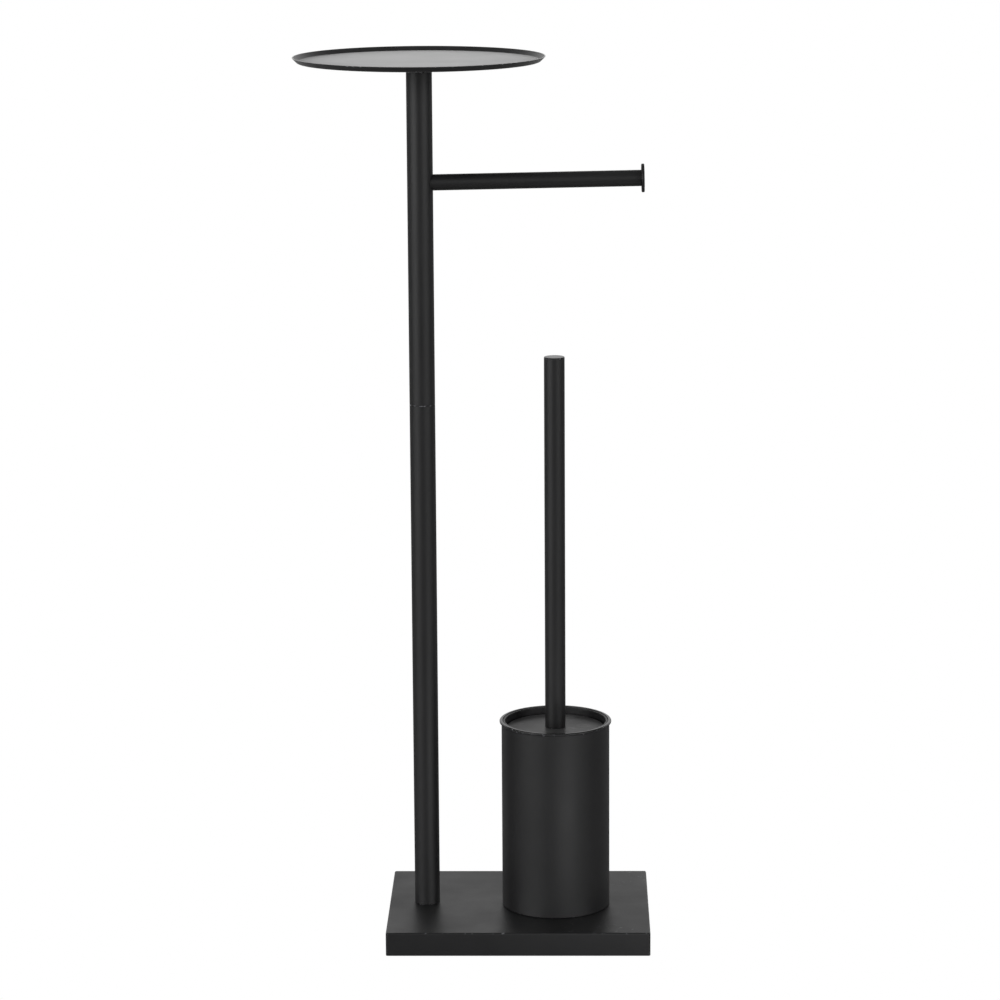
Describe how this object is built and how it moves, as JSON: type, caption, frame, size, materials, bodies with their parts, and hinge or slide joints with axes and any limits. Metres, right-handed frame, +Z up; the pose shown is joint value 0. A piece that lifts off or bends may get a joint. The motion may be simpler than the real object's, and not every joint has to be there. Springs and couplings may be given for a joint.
{
  "type": "toilet paper holder",
  "caption": "Free-standing black toilet paper holder: weighted base, tubular column with roll arm and round top tray, and a brush in a lidded canister.",
  "frame": {"origin": "centre of the base's underside, on the floor", "axes": "+Z up, +X from the column towards the brush and along the roll arm, +Y to the back"},
  "size_m": [0.302, 0.214, 0.766],
  "materials": {
    "powder_black": "fine matte black powder coat",
    "zinc_steel": "zinc plated steel",
    "cast_iron": "raw sand-cast iron",
    "black_rubber": "matte anti-slip rubber",
    "black_plastic": "satin moulded polypropylene",
    "nylon_bristle": "crimped nylon filament"
  },
  "bodies": {
    "stand": {"anti_slip_pad": "black_rubber", "base_plate": "zinc_steel", "base_plate_screws": "zinc_steel", "base_weight": "cast_iron", "base_shell": "powder_black", "column_bolt": "zinc_steel", "column_washer": "zinc_steel", "foot_insert": "zinc_steel", "lower_tube": "powder_black", "lower_joint_insert": "zinc_steel", "joint_stud": "zinc_steel", "upper_joint_insert": "zinc_steel", "upper_tube": "powder_black", "column_top_insert": "zinc_steel", "tray_boss": "powder_black", "tray": "powder_black", "arm_anchor": "zinc_steel", "arm_tube": "powder_black", "arm_tie_rod": "zinc_steel", "arm_end_disc": "powder_black"},
    "canister": {"canister_pad": "black_rubber", "canister": "powder_black", "liner": "black_plastic"},
    "brush": {"lid": "powder_black", "lid_nut": "zinc_steel", "brush_stem": "zinc_steel", "handle_insert": "zinc_steel", "handle_tube": "powder_black", "handle_cap": "powder_black"},
    "brush_head": {"brush_core": "black_plastic", "bristles": "nylon_bristle"}
  },
  "joints": [
    {"name": "canister_pull", "type": "slide", "parent": "stand", "child": "canister", "axis": [0, -1, 0], "range_m": [0, 0.075]},
    {"name": "brush_lift", "type": "slide", "parent": "canister", "child": "brush", "axis": [0, 0, 1], "range_m": [0, 0.141]},
    {"name": "brush_head_unscrew", "type": "hinge", "parent": "brush", "child": "brush_head", "pos_m": [0.0325, -0.003, 0.138], "axis": [0, 0, 1], "continuous": true}
  ]
}
